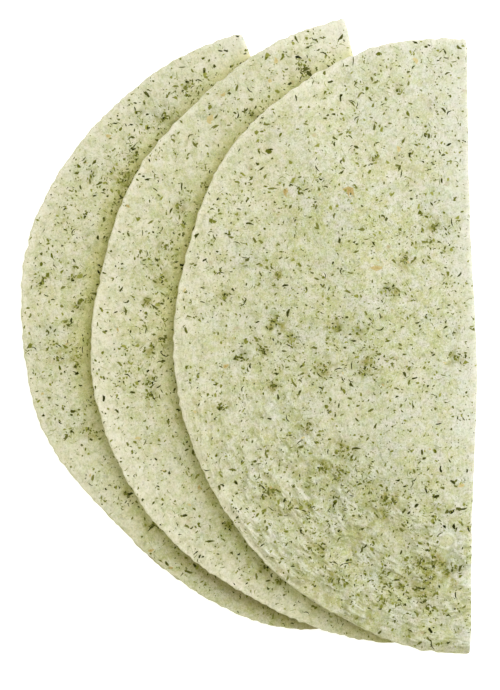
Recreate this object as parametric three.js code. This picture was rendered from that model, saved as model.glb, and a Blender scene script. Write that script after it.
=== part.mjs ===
// Three soft herb wraps, each folded once into a half-moon and fanned into a low stack.
//
// Units are millimetres. +Z is up, the stack rests on z = 0, and +Y runs along the top wrap's fold.
// A wrap is one round sheet. Its lower layer lies on whatever is under it, the sheet turns round the
// fold, and its upper layer comes down from the fold to rest on the lower one. The wraps above sag
// past the edges of the wraps below.
import * as THREE from 'three';

// ---- Sheet ------------------------------------------------------------------------------------
const sheetThickness = 1.5;
const rimNose = 0.5; // the rounded rim stands out this far past the two faces
const foldRadius = 1.4; // middle of the sheet round the fold
const foldSettle = 26; // the upper layer comes down from the fold over this distance
const layerGap = 0.4; // open slit between the two layers of a wrap
const rimLift = 0.6; // the free rim of an upper layer curls up by this much all along
const rimLiftFrom = 0.72; // share of the way out from the fold's middle at which the curl starts

// ---- Stack ------------------------------------------------------------------------------------
const restGap = 0.55; // clear space between one wrap and the next
const sagStart = 6; // a wrap starts to sag this far outside the edge of a wrap below
const sagLength = 42; // and is down after this much more

// ---- Mesh fineness ----------------------------------------------------------------------------
const bendSteps = 6; // across the turn of the fold
const layerSteps = 11; // from the fold to the rim
const rowSteps = 26; // along the fold
const towardFold = 1.25; // above 1, the steps are shorter near the fold

// ---- Wraps, lowest first ----------------------------------------------------------------------
// foldMiddle   middle of the fold line, seen from above
// foldTurn     degrees that the fold line leans to the left of +Y
// bow          the fold stands out by this much in its middle, in an even curve
// bump         a shorter swelling of the fold: how far out, where along it and how long
// upperRim     heights of the 1st, 2nd, 3rd ... half-waves that the rim of the upper layer adds to
//              a true half circle, counted from the fold's upper end to its lower end
// lowerRim     the same for the lower layer
// lifts        places where the rim curls up further: by how much, at how many degrees round from the
//              fold's upper end, and over how many degrees
// waves        slow ripples of the upper layer: height, length, direction and phase in degrees
const wraps = [
  {
    name: 'wrap_bottom',
    colour: 0xc9c7a2,
    foldLength: 248.5,
    foldMiddle: [33.8, 5.7],
    foldTurn: 17.1,
    bow: 3.5,
    bump: { height: 0, at: 0, length: 40 },
    upperRim: [4.3, 2.0, -0.2, -1.8, 0.7, 0, -0.5, 0.7, 0.1, 0, -0.3, 0.2],
    lowerRim: [4.0, 1.4, -0.2, -1.6, 0.4, 0, -0.5, 0.7, 0.1, 0, -0.3, 0.2],
    lifts: [{ height: 0.3, at: 60, width: 30 }],
    waves: [
      { height: 0.22, length: 96, turn: 35, phase: 20 },
      { height: 0.12, length: 61, turn: -48, phase: 150 },
    ],
  },
  {
    name: 'wrap_middle',
    colour: 0xcbc9a3,
    foldLength: 256.1,
    foldMiddle: [61.2, 4.3],
    foldTurn: 9.7,
    bow: 3.0,
    bump: { height: 0, at: 0, length: 40 },
    upperRim: [-0.4, -2.2, -1.8, 0.1, 0.4, -0.7, 0.3, -0.1, 0.5, 0.1, -0.1, -0.1],
    lowerRim: [-1.7, -1.9, -1.6, 0.4, 0.2, -0.5, 0.3, -0.1, 0.5, 0.1, -0.1, -0.1],
    lifts: [
      { height: 0.8, at: 128, width: 26 },
      { height: 0.3, at: 50, width: 20 },
    ],
    waves: [
      { height: 0.2, length: 88, turn: -20, phase: 75 },
      { height: 0.14, length: 57, turn: 52, phase: 10 },
    ],
  },
  {
    name: 'wrap_top',
    colour: 0xcdccaa,
    foldLength: 250.8,
    foldMiddle: [90.1, -3.6],
    foldTurn: 0.1,
    bow: 0.6,
    bump: { height: 2.9, at: -11, length: 45 },
    upperRim: [-2.0, 2.2, 0.3, 0.7, 0.6, -0.4, -0.1, 0.3, 0.5, -0.1, 0, -0.2],
    lowerRim: [-3.3, 1.7, 0.7, 0.4, 0.3, -0.1, -0.1, 0.3, 0.5, -0.1, 0, -0.2],
    lifts: [
      { height: 0.9, at: 136, width: 24 },
      { height: 0.5, at: 58, width: 16 },
    ],
    waves: [
      { height: 0.24, length: 82, turn: 12, phase: 130 },
      { height: 0.16, length: 49, turn: -38, phase: 40 },
      { height: 0.08, length: 33, turn: 70, phase: 0 },
    ],
  },
];

// ---- Worked-out sizes -------------------------------------------------------------------------
const halfThickness = sheetThickness / 2;
const halfBend = (Math.PI / 2) * foldRadius; // sheet length from the crest to the end of the turn
const foldHeight = 2 * foldRadius + sheetThickness;
const noseToBendCentre = halfThickness + foldRadius;

const radians = THREE.MathUtils.degToRad;

/** 0 below 0, 1 above 1, and a smooth ramp between. */
function ramp(x) {
  return THREE.MathUtils.smoothstep(x, 0, 1);
}

// ---- One wrap in its own plan: `across` grows from the fold to the rim, `along` up the fold -----

/** Where a point of the plan lies in the stack, seen from above. */
function planToStack(wrap, across, along) {
  const turn = radians(wrap.foldTurn);
  return [
    wrap.foldMiddle[0] - across * Math.cos(turn) - along * Math.sin(turn),
    wrap.foldMiddle[1] - across * Math.sin(turn) + along * Math.cos(turn),
  ];
}

function stackToPlan(wrap, x, y) {
  const turn = radians(wrap.foldTurn);
  const dx = x - wrap.foldMiddle[0];
  const dy = y - wrap.foldMiddle[1];
  return [-dx * Math.cos(turn) - dy * Math.sin(turn), -dx * Math.sin(turn) + dy * Math.cos(turn)];
}

/** How far the fold stands out beyond the straight line between its ends. */
function foldOut(wrap, along) {
  const share = Math.min(1, Math.abs((2 * along) / wrap.foldLength));
  const { height, at, length } = wrap.bump;
  return wrap.bow * (1 - share ** 2) + height * Math.exp(-(((along - at) / length) ** 2));
}

/** Distance from the fold's middle to the rim, for a direction given by its plan coordinates. */
function rimDistance(wrap, rim, across, along) {
  const angle = Math.atan2(Math.max(across, 0), along);
  return rim.reduce((sum, height, i) => sum + height * Math.sin((i + 1) * angle), wrap.foldLength / 2);
}

/** Height of the upper layer's slow ripples, never below 0. */
function ripple(wrap, across, along) {
  return wrap.waves.reduce((sum, wave) => {
    const way = across * Math.cos(radians(wave.turn)) + along * Math.sin(radians(wave.turn));
    const angle = (2 * Math.PI * way) / wave.length + radians(wave.phase);
    return sum + wave.height * (1 + Math.sin(angle));
  }, 0);
}

/** How far the free rim of the upper layer curls up in the direction of a place in the plan. */
function rimCurl(wrap, across, along) {
  const angle = THREE.MathUtils.radToDeg(Math.atan2(Math.max(across, 0), along));
  return wrap.lifts.reduce(
    (sum, lift) => sum + lift.height * Math.exp(-(((angle - lift.at) / lift.width) ** 2)),
    rimLift,
  );
}

/** Height of the upper layer's middle above the lower layer's middle. */
function upperRise(wrap, across, along) {
  const fromTurn = across + foldOut(wrap, along) - noseToBendCentre;
  const settled = ramp(fromTurn / foldSettle);
  const outward = Math.hypot(across, along) / rimDistance(wrap, wrap.upperRim, across, along);
  const curl = rimCurl(wrap, across, along) * ramp((outward - rimLiftFrom) / (1 - rimLiftFrom));
  const resting = sheetThickness + layerGap + ripple(wrap, across, along) + curl;
  return THREE.MathUtils.lerp(2 * foldRadius, resting, settled);
}

/** Top of a folded wrap above its own underside, carried on at the same height past its fold. */
function wrapHeight(wrap, across, along) {
  const pastFold = across + foldOut(wrap, along) < noseToBendCentre;
  return pastFold ? foldHeight : sheetThickness + upperRise(wrap, across, along);
}

/** 1 over a wrap, and 0 where whatever lies on it has sagged down past its edge. */
function cover(wrap, x, y) {
  const [across, along] = stackToPlan(wrap, x, y);
  const pastFold = -across - foldOut(wrap, along);
  const rim = Math.max(
    rimDistance(wrap, wrap.upperRim, across, along),
    rimDistance(wrap, wrap.lowerRim, across, along),
  );
  const pastRim = Math.hypot(across, along) - rim;
  const left = (past) => 1 - ramp((past - sagStart) / sagLength);
  return left(pastFold) * left(pastRim);
}

/** Height of the underside of wrap number `level` at a place in the stack. */
function restHeight(level, x, y) {
  return wraps.slice(0, level).reduce((sum, below) => {
    const [across, along] = stackToPlan(below, x, y);
    return sum + (wrapHeight(below, across, along) + restGap) * cover(below, x, y);
  }, 0);
}

/**
 * A point of the sheet, folded and laid in the stack. `reach` is its distance across the flat sheet
 * from the crest of the fold, below 0 on the upper layer. `offset` is its distance from the sheet's
 * middle, above 0 towards the outside of the fold.
 */
function sheetPoint(level, reach, along, offset) {
  const wrap = wraps[level];
  const bendCentre = noseToBendCentre - foldOut(wrap, along);
  const beyond = Math.abs(reach) - halfBend;
  let across = bendCentre + beyond;
  let height = halfThickness - offset;
  if (beyond <= 0) {
    const angle = reach / foldRadius;
    across = bendCentre - (foldRadius + offset) * Math.cos(angle);
    height = noseToBendCentre - (foldRadius + offset) * Math.sin(angle);
  } else if (reach < 0) {
    height = halfThickness + upperRise(wrap, across, along) + offset;
  }
  const [x, y] = planToStack(wrap, across, along);
  return [x, y, height + restHeight(level, x, y)];
}

// ---- Mesh of one wrap -------------------------------------------------------------------------

/**
 * Place in the flat sheet of a grid point. The square grid is rounded into a disc whose straight
 * middle column is the fold, and each half is then stretched to its own rim.
 */
function flatPoint(wrap, column, row, inset) {
  const halfFold = wrap.foldLength / 2;
  const v = (2 * row) / rowSteps - 1;
  const narrowing = Math.sqrt(1 - v ** 2 / 2);
  const bendEdge = halfBend / (halfFold * narrowing);
  const bendColumn = column - layerSteps - bendSteps / 2;
  const outside = Math.abs(bendColumn) - bendSteps / 2;
  let u = (bendEdge * bendColumn) / (bendSteps / 2);
  if (outside > 0) {
    u = Math.sign(bendColumn) * (bendEdge + (1 - bendEdge) * (outside / layerSteps) ** towardFold);
  }
  const discX = u * narrowing;
  const discY = v * Math.sqrt(1 - u ** 2 / 2);
  const rim = rimDistance(wrap, u < 0 ? wrap.upperRim : wrap.lowerRim, Math.abs(discX), discY) - inset;
  const scale = THREE.MathUtils.lerp(halfFold, rim, discX ** 2 + discY ** 2);
  return [discX * scale, discY * scale];
}

/** Grid points round the edge of the grid, once round. */
function edgeLoop(columns, rows) {
  const loop = [];
  for (let column = 0; column < columns; column += 1) loop.push([column, 0]);
  for (let row = 0; row < rows; row += 1) loop.push([columns, row]);
  for (let column = columns; column > 0; column -= 1) loop.push([column, rows]);
  for (let row = rows; row > 0; row -= 1) loop.push([0, row]);
  return loop;
}

/** The closed skin of one wrap: its outer and inner faces, joined by a rounded rim. */
function wrapGeometry(level) {
  const wrap = wraps[level];
  const columns = 2 * layerSteps + bendSteps;
  const positions = [];
  const triangles = [];

  function addPoint(column, row, inset, offset) {
    const [reach, along] = flatPoint(wrap, column, row, inset);
    positions.push(...sheetPoint(level, reach, along, offset));
    return positions.length / 3 - 1;
  }

  function addQuad(a, b, c, d) {
    triangles.push(a, b, c, a, c, d);
  }

  function addFace(offset) {
    const face = [];
    for (let column = 0; column <= columns; column += 1) {
      face.push([]);
      for (let row = 0; row <= rowSteps; row += 1) {
        face[column].push(addPoint(column, row, rimNose, offset));
      }
    }
    return face;
  }

  const outer = addFace(halfThickness);
  const inner = addFace(-halfThickness);
  for (let column = 0; column < columns; column += 1) {
    for (let row = 0; row < rowSteps; row += 1) {
      const [next, up] = [column + 1, row + 1];
      addQuad(outer[column][row], outer[next][row], outer[next][up], outer[column][up]);
      addQuad(inner[column][row], inner[column][up], inner[next][up], inner[next][row]);
    }
  }

  const loop = edgeLoop(columns, rowSteps);
  const nose = loop.map(([column, row]) => addPoint(column, row, 0, 0));
  loop.forEach(([column, row], i) => {
    const j = (i + 1) % loop.length;
    const [nextColumn, nextRow] = loop[j];
    addQuad(nose[i], nose[j], outer[nextColumn][nextRow], outer[column][row]);
    addQuad(inner[column][row], inner[nextColumn][nextRow], nose[j], nose[i]);
  });

  const geometry = new THREE.BufferGeometry();
  geometry.setAttribute('position', new THREE.Float32BufferAttribute(positions, 3));
  geometry.setIndex(triangles);
  geometry.computeVertexNormals();
  return geometry;
}

// ---- Assembly ---------------------------------------------------------------------------------
const stack = new THREE.Group();
wraps.forEach((wrap, level) => {
  const dough = new THREE.MeshStandardMaterial({ color: wrap.colour, roughness: 0.85, metalness: 0 });
  const mesh = new THREE.Mesh(wrapGeometry(level), dough);
  mesh.name = wrap.name;
  stack.add(mesh);
});

// The origin is under the middle of the whole stack.
const bounds = new THREE.Box3().setFromObject(stack, true);
const middle = bounds.getCenter(new THREE.Vector3());
stack.position.set(-middle.x, -middle.y, -bounds.min.z);

export default stack;
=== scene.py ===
"""Three soft herb wraps, each folded once into a half-moon and fanned into a low stack.

Sizes are millimetres until a mesh, light or camera is made. Each wrap is one round sheet, worked out
flat, folded round its crease and laid over the wraps below it, in the same way as the solids.
"""

import math

import bpy
import numpy as np
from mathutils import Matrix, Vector


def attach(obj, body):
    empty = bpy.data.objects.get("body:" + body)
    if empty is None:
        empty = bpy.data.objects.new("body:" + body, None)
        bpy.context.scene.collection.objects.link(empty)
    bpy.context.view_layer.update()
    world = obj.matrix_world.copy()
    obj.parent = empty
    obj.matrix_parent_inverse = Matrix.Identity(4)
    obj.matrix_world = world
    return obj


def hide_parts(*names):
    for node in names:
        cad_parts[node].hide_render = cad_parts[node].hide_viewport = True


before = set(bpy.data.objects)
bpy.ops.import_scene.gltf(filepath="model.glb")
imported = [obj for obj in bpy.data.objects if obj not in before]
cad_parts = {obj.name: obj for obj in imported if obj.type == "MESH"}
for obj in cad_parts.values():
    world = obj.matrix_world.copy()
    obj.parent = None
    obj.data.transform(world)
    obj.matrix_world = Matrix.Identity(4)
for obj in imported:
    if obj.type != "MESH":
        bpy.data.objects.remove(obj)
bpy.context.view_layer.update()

MM = 0.001

# ---- Sheet and stack, as in the solids ----
SHEET_THICKNESS = 1.5
FOLD_RADIUS = 1.4
FOLD_SETTLE = 26
LAYER_GAP = 0.4
RIM_LIFT = 0.6
RIM_LIFT_FROM = 0.72
REST_GAP = 0.55
SAG_START = 6
SAG_LENGTH = 42

# ---- Finer form ----
RIM_NOSE = 0.5          # how far the rounded rim stands out past the faces
RIM_THIN = 0.62         # the rim's share of the full thickness
RIM_TAPER = 4.5         # width of the band that thins towards the rim
RIM_BAND = 2.6          # width of the thin pale line along the rim
RIM_RAGGED = 0.13       # how far the rim strays in and out, in longer and again in shorter waves
LUMPS = ((24, 0.06), (9, 0.045), (4.2, 0.03))   # length and height of the ups and downs of a face
WRINKLE_HEIGHT = 0.15
WRINKLE_LENGTH = 3.9    # from one ridge to the next

# A flat oval blister with a fine raised rim, on the top wrap.
BLISTER = {"level": 2, "across": 10.9, "along": -79.6, "radius": 2.9, "oval": 1.25, "height": 0.16}

# ---- Colour bands of the dough, some of them painted light and shade ----
FOLD_BAND = 8.5         # the paler band along the fold, partly paler dough and partly painted light
CREAM_BAND = 26         # the warmer dough along the rim
PAINTED_SHADE_BAND = 4.4       # width of the painted shade, a yellower tint next to the next wrap's rim
PAINTED_SHADOW_BAND = 4.2      # width of the painted shadow there, a browner darker tint

# ---- Mesh fineness ----
UPPER_STEPS = 118
LOWER_STEPS = 92
BEND_STEPS = 14
ROW_STEPS = 210
NOSE_STEPS = 4

WRAPS = [
    {
        "name": "wrap_bottom",
        "fold_length": 248.5,
        "fold_middle": (33.8, 5.7),
        "fold_turn": 17.1,
        "bow": 3.5,
        "bump": {"height": 0, "at": 0, "length": 40},
        "upper_rim": (4.3, 2.0, -0.2, -1.8, 0.7, 0, -0.5, 0.7, 0.1, 0, -0.3, 0.2),
        "lower_rim": (4.0, 1.4, -0.2, -1.6, 0.4, 0, -0.5, 0.7, 0.1, 0, -0.3, 0.2),
        "lifts": [{"height": 0.3, "at": 60, "width": 30}],
        "waves": [
            {"height": 0.22, "length": 96, "turn": 35, "phase": 20},
            {"height": 0.12, "length": 61, "turn": -48, "phase": 150},
        ],
        # Parts that hold more herb: across, along, radius.
        "rich": [(38, 101, 15), (66, 82, 10), (57, 89, 9), (78, 66, 9), (112, 24, 9)],
        # Clumps of herb with an olive stain round them: across, along, radius.
        "clumps": [(42, 101, 3.8), (30, 108, 3.2), (66, 82, 3.6), (112, -13, 2.8), (97, -58, 2.6),
                   (104, -43, 2.4), (78, 86, 1.8), (99, 49, 2.2), (112, 51, 2.2), (101, 37, 2.2),
                   (115, 19, 2.2), (109, 15, 2.0), (59, 88, 2.4)],
        # Single large flakes: across, along, length, width, direction in the flat sheet.
        "marks": [(20.1, 113.3, 3.3, 0.9, 65), (98.3, -59.1, 3.7, 0.7, 33), (69.3, -86.5, 2.0, 0.8, 23),
                  (116, -3.4, 2.2, 1.3, -17)],
        # Toasted bits: across, along, length, paleness.
        "toasted": [(67, 100, 2.4, 0.4), (101, -68, 2.6, 0.2), (95, -77, 2.4, 0.2)],
        # Scorched places on the rim of the lower layer: across, along, radius.
        "scorched": [(101.3, -70.2, 1.4), (94.0, -79.5, 1.8)],
        # Pale bands along the rim, partly paler dough and partly painted light where the curled rim faces the
        # light: angle from the upper end, spread of it, width, strength.
        "pale_lit_bands": [(60, 30, 3.0, 0.5), (60, 30, 14, 0.2), (112, 22, 12, 0.3)],
        # Olive bands along the rim, in the same way.
        "olive": [],
        # Painted shadow, a browner darker tint next to the next wrap's rim: angle where it starts, spread of
        # it, strength.
        "painted_shadow": (118, 16, 0.85),
        # Pale places: across, along, radius, strength.
        "pale": [(116, -34, 14, 0.3)],
        # How much more herb than usual.
        "herb": 1.34,
        # Share of cream in the dough, over the whole wrap and added along its rim.
        "cream": (0.75, 0.1),
    },
    {
        "name": "wrap_middle",
        "fold_length": 256.1,
        "fold_middle": (61.2, 4.3),
        "fold_turn": 9.7,
        "bow": 3.0,
        "bump": {"height": 0, "at": 0, "length": 40},
        "upper_rim": (-0.4, -2.2, -1.8, 0.1, 0.4, -0.7, 0.3, -0.1, 0.5, 0.1, -0.1, -0.1),
        "lower_rim": (-1.7, -1.9, -1.6, 0.4, 0.2, -0.5, 0.3, -0.1, 0.5, 0.1, -0.1, -0.1),
        "lifts": [{"height": 0.8, "at": 128, "width": 26}, {"height": 0.3, "at": 50, "width": 20}],
        "waves": [
            {"height": 0.2, "length": 88, "turn": -20, "phase": 75},
            {"height": 0.14, "length": 57, "turn": 52, "phase": 10},
        ],
        "rich": [(109, 2, 13), (95, 19, 10), (22, 108, 14), (92, 42, 10)],
        "clumps": [(21, 109, 4.4), (108, -11, 3.0), (95, -18, 2.8), (67, -95, 2.8), (83, -69, 2.6),
                   (71, -88, 2.6), (108, -6, 2.2), (95, 35, 2.4), (105, 8, 2.2), (82, 63, 2.2),
                   (46, 95, 2.0), (99, 10, 2.6), (91, 48, 2.2), (103, 27, 1.8)],
        "marks": [(20.9, 109.9, 3.7, 1.5, 15), (20.0, 107.8, 2.6, 1.7, -45), (22.3, 114.7, 2.5, 1.2, -10),
                  (86.0, 61.8, 2.5, 0.7, 50), (94.7, -18.1, 3.0, 1.7, 0), (107.1, -11.0, 2.2, 1.7, -10)],
        "toasted": [(63.3, 96.4, 3.8, 0.7), (55.7, 104.6, 2.2, 0.3), (31.3, 114.6, 2.4, 0.5),
                    (35.9, 106.9, 2.4, 0.5), (103, 66, 2.0, 0.1), (115.4, -27.8, 2.4, 0.8),
                    (93.7, -51.5, 2.4, 0.1)],
        "scorched": [],
        "pale_lit_bands": [(98, 30, 7.0, 0.8), (94, 30, 15, 0.25), (50, 20, 3.0, 0.4), (140, 20, 7.0, 0.65)],
        "olive": [(134, 11, 16, 0.4)],
        "painted_shadow": (142, 12, 0.4),
        "pale": [(112, -40, 10, 0.3)],
        "herb": 1.15,
        "cream": (0.95, 0.1),
    },
    {
        "name": "wrap_top",
        "fold_length": 250.8,
        "fold_middle": (90.1, -3.6),
        "fold_turn": 0.1,
        "bow": 0.6,
        "bump": {"height": 2.9, "at": -11, "length": 45},
        "upper_rim": (-2.0, 2.2, 0.3, 0.7, 0.6, -0.4, -0.1, 0.3, 0.5, -0.1, 0, -0.2),
        "lower_rim": (-3.3, 1.7, 0.7, 0.4, 0.3, -0.1, -0.1, 0.3, 0.5, -0.1, 0, -0.2),
        "lifts": [{"height": 0.9, "at": 136, "width": 24}, {"height": 0.5, "at": 58, "width": 16}],
        "waves": [
            {"height": 0.24, "length": 82, "turn": 12, "phase": 130},
            {"height": 0.16, "length": 49, "turn": -38, "phase": 40},
            {"height": 0.08, "length": 33, "turn": 70, "phase": 0},
        ],
        "rich": [(58, -82, 24), (22, -98, 20), (84, -64, 16), (56, -9, 12), (9, -5, 9), (15, 44, 10),
                 (82, 2, 13), (10, -66, 14), (36, -66, 12)],
        "clumps": [(35, -65, 4.4), (62, -82, 3.0), (10, -92, 3.6), (46, -9, 3.6), (8, -5, 3.0),
                   (54, -42, 4.0), (70, -33, 2.8), (102, 20, 2.4), (104, -25, 2.6), (39, 76, 2.2),
                   (58, 7, 2.4), (63, -10, 3.4), (55, -51, 2.6), (28, 104, 2.2), (18, -95, 3.4),
                   (97, -5, 2.6), (15, -88, 3.4), (62, -50, 2.8), (28, 34, 2.2), (15, 48, 2.4),
                   (66, -66, 2.6), (82, -59, 2.8), (58, -95, 2.6), (21, -88, 2.6), (35, 22, 2.6),
                   (20, -102, 3.0), (29, -97, 2.4), (85, -17, 2.2), (75, -65, 2.4), (83, 9, 2.6),
                   (76, 2, 2.2), (88, -2, 2.4), (80, 28, 1.6)],
        "marks": [(8.7, -67.5, 2.9, 1.6, 20), (6.2, -66.5, 2.9, 1.2, -15), (4.2, -67.1, 3.3, 0.8, 5),
                  (10.9, -67.7, 1.6, 1.5, 60), (16.0, -62.0, 3.1, 1.1, 12), (8.1, -74.1, 2.2, 1.2, 95),
                  (11.7, -74.3, 1.6, 1.1, -50), (19.7, -58.8, 2.5, 0.8, -60), (22.3, -43.3, 2.2, 1.1, 100),
                  (20.9, -46.1, 1.8, 1.1, 20), (47.2, 115.5, 4.5, 0.5, 88), (52.8, 100.3, 3.1, 0.8, 80),
                  (52.6, 101.5, 1.6, 1.0, 30), (55.6, -88.9, 2.5, 0.4, -30), (53.2, -88.7, 2.0, 0.4, 35),
                  (49.0, -41.4, 4.1, 0.7, 3), (0.1, -36.2, 4.3, 0.4, 0), (16.9, -115.4, 2.5, 1.2, -50),
                  (2.9, -51.4, 1.6, 0.8, 90), (91.2, 49.4, 3.0, 0.9, -10), (78.0, 24.6, 2.6, 0.7, 10)],
        "toasted": [(76.1, 62.0, 3.4, 0.0), (49.6, 63.2, 5.2, 0.0), (29.2, 80.3, 2.6, 0.4),
                    (40.5, 31.4, 4.0, 0.3), (22.2, 116.2, 3.0, 0.6), (103.6, -8.5, 2.4, 0.1),
                    (5.4, -56.7, 3.6, 0.5)],
        "scorched": [],
        "pale_lit_bands": [(115, 20, 4.5, 0.7), (60, 40, 3.0, 0.35), (70, 34, 20, 0.3), (133, 12, 7.0, 0.6)],
        "olive": [(149, 14, 15, 0.4)],
        "pale": [(22, -33, 22, 0.3), (95, 8, 8, 0.5), (57, -22, 13, 0.45), (24, -72, 9, 0.15)],
        "herb": 1.06,
        "cream": (0.1, 0.8),
    },
]

OWN_PLACE = 400.0       # how far apart the wraps lie in the noise of the dough material
USUAL_RADIUS = 100      # where the wrinkles of a rim keep their true length
HALF_THICKNESS = SHEET_THICKNESS / 2
HALF_BEND = math.pi / 2 * FOLD_RADIUS
FOLD_HEIGHT = 2 * FOLD_RADIUS + SHEET_THICKNESS
NOSE_TO_BEND = HALF_THICKNESS + FOLD_RADIUS


def ramp(x):
    """0 below 0 and 1 above 1, with a smooth rise between."""
    x = np.clip(x, 0, 1)
    return x * x * (3 - 2 * x)


def hump(away, width):
    """1 where `away` is 0, fading to 0 at about twice the width."""
    return np.exp(-((away / width) ** 2))


def swell(x, y, length, seed, count=26):
    """Soft noise about 0 with a spread near 1. Its features are about `length` long."""
    rng = np.random.default_rng(seed)
    total = np.zeros(np.broadcast(x, y).shape)
    for _ in range(count):
        turn, phase = rng.uniform(0, 2 * math.pi, 2)
        pace = 2 * math.pi / (length * rng.uniform(0.75, 1.4))
        total += np.cos(pace * (x * math.cos(turn) + y * math.sin(turn)) + phase)
    return total * math.sqrt(2 / count)


# ---- Plan of one wrap: `across` grows from the fold to the rim, `along` up the fold ----

def plan_to_stack(wrap, across, along):
    turn = math.radians(wrap["fold_turn"])
    x = wrap["fold_middle"][0] - across * math.cos(turn) - along * math.sin(turn)
    y = wrap["fold_middle"][1] - across * math.sin(turn) + along * math.cos(turn)
    return x, y


def stack_to_plan(wrap, x, y):
    turn = math.radians(wrap["fold_turn"])
    dx = x - wrap["fold_middle"][0]
    dy = y - wrap["fold_middle"][1]
    return -dx * math.cos(turn) - dy * math.sin(turn), -dx * math.sin(turn) + dy * math.cos(turn)


def fold_out(wrap, along):
    """How far the fold stands out beyond the straight line between its ends."""
    share = np.minimum(1, np.abs(2 * along / wrap["fold_length"]))
    bump = wrap["bump"]
    return wrap["bow"] * (1 - share**2) + bump["height"] * hump(along - bump["at"], bump["length"])


def way_round(across, along):
    """Direction from the fold's middle to a place, in degrees from the fold's upper end."""
    return np.degrees(np.arctan2(np.maximum(across, 0), along))


def rim_distance(wrap, rim, across, along):
    """Distance from the fold's middle to the rim in the direction of a place in the plan."""
    angle = np.arctan2(np.maximum(across, 0), along)
    return wrap["fold_length"] / 2 + sum(height * np.sin((i + 1) * angle) for i, height in enumerate(rim))


def ripple(wrap, across, along):
    total = 0
    for wave in wrap["waves"]:
        turn = math.radians(wave["turn"])
        way = across * math.cos(turn) + along * math.sin(turn)
        waves_passed = 2 * math.pi * way / wave["length"]
        total = total + wave["height"] * (1 + np.sin(waves_passed + math.radians(wave["phase"])))
    return total


def rim_curl(wrap, across, along):
    """How far the free rim of the upper layer curls up in the direction of a place in the plan."""
    angle = way_round(across, along)
    return RIM_LIFT + sum(lift["height"] * hump(angle - lift["at"], lift["width"]) for lift in wrap["lifts"])


def upper_rise(wrap, across, along):
    """Height of the upper layer's middle above the lower layer's middle."""
    settled = ramp((across + fold_out(wrap, along) - NOSE_TO_BEND) / FOLD_SETTLE)
    outward = np.hypot(across, along) / rim_distance(wrap, wrap["upper_rim"], across, along)
    curl = rim_curl(wrap, across, along) * ramp((outward - RIM_LIFT_FROM) / (1 - RIM_LIFT_FROM))
    resting = SHEET_THICKNESS + LAYER_GAP + ripple(wrap, across, along) + curl
    return 2 * FOLD_RADIUS * (1 - settled) + resting * settled


def wrap_height(wrap, across, along):
    """Top of a folded wrap above its own underside, carried on at the same height past its fold."""
    past_fold = across + fold_out(wrap, along) < NOSE_TO_BEND
    return np.where(past_fold, FOLD_HEIGHT, SHEET_THICKNESS + upper_rise(wrap, across, along))


def beyond_edge(wrap, x, y):
    """How far a place lies outside a wrap's fold and outside its rim."""
    across, along = stack_to_plan(wrap, x, y)
    rim = np.maximum(rim_distance(wrap, wrap["upper_rim"], across, along),
                     rim_distance(wrap, wrap["lower_rim"], across, along))
    return -across - fold_out(wrap, along), np.hypot(across, along) - rim


def cover(wrap, x, y):
    """1 over a wrap, and 0 where whatever lies on it has sagged down past its edge."""
    past_fold, past_rim = beyond_edge(wrap, x, y)
    left_fold = 1 - ramp((past_fold - SAG_START) / SAG_LENGTH)
    left_rim = 1 - ramp((past_rim - SAG_START) / SAG_LENGTH)
    return left_fold * left_rim


def rest_height(level, x, y):
    """Height of the underside of wrap number `level`."""
    total = 0
    for below in WRAPS[:level]:
        across, along = stack_to_plan(below, x, y)
        total = total + (wrap_height(below, across, along) + REST_GAP) * cover(below, x, y)
    return total


def laid(level, reach, along, offset):
    """Folds a flat place of the sheet and lays it in the stack.

    `reach` is the distance across the flat sheet from the crest of the fold, below 0 on the upper
    layer, and `offset` the distance from the sheet's middle towards the outside of the fold.
    """
    wrap = WRAPS[level]
    bend_centre = NOSE_TO_BEND - fold_out(wrap, along)
    beyond = np.abs(reach) - HALF_BEND
    in_bend = beyond <= 0
    turn = np.clip(reach / FOLD_RADIUS, -math.pi / 2, math.pi / 2)
    across = np.where(in_bend, bend_centre - (FOLD_RADIUS + offset) * np.cos(turn), bend_centre + beyond)
    bend_height = NOSE_TO_BEND - (FOLD_RADIUS + offset) * np.sin(turn)
    upper_height = HALF_THICKNESS + upper_rise(wrap, across, along) + offset
    layer_height = np.where(reach < 0, upper_height, HALF_THICKNESS - offset)
    x, y = plan_to_stack(wrap, across, along)
    return np.stack([x, y, np.where(in_bend, bend_height, layer_height) + rest_height(level, x, y)], axis=-1)


# ---- Flat grid ----

def flat_grid(level, inset):
    """Flat places of the grid points: reach, along, and the distance in from the rim."""
    wrap = WRAPS[level]
    half_fold = wrap["fold_length"] / 2
    v = np.linspace(-1, 1, ROW_STEPS + 1)[None, :]
    narrowing = np.sqrt(1 - v**2 / 2)
    bend_edge = HALF_BEND / (half_fold * narrowing)
    upper_share = np.arange(UPPER_STEPS, 0, -1)[:, None] / UPPER_STEPS
    lower_share = np.arange(1, LOWER_STEPS + 1)[:, None] / LOWER_STEPS
    u = np.concatenate([
        -(bend_edge + (1 - bend_edge) * upper_share),
        bend_edge * np.linspace(-1, 1, BEND_STEPS + 1)[:, None],
        bend_edge + (1 - bend_edge) * lower_share,
    ])
    disc_x = u * narrowing
    disc_y = v * np.sqrt(1 - u**2 / 2)
    outward = np.hypot(disc_x, disc_y)
    rim = np.where(u < 0, rim_distance(wrap, wrap["upper_rim"], np.abs(disc_x), disc_y),
                   rim_distance(wrap, wrap["lower_rim"], np.abs(disc_x), disc_y))
    rim_x = disc_x / np.maximum(outward, 1e-6) * half_fold
    rim_y = disc_y / np.maximum(outward, 1e-6) * half_fold
    ragged = RIM_RAGGED * swell(rim_x, rim_y, 9, 11 + level) + RIM_RAGGED * swell(rim_x, rim_y, 4, 21 + level)
    scale = half_fold + (rim + ragged * ramp(6 * outward - 5) - inset - half_fold) * outward**2
    return disc_x * scale, disc_y * scale, (1 - outward) * rim


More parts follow.
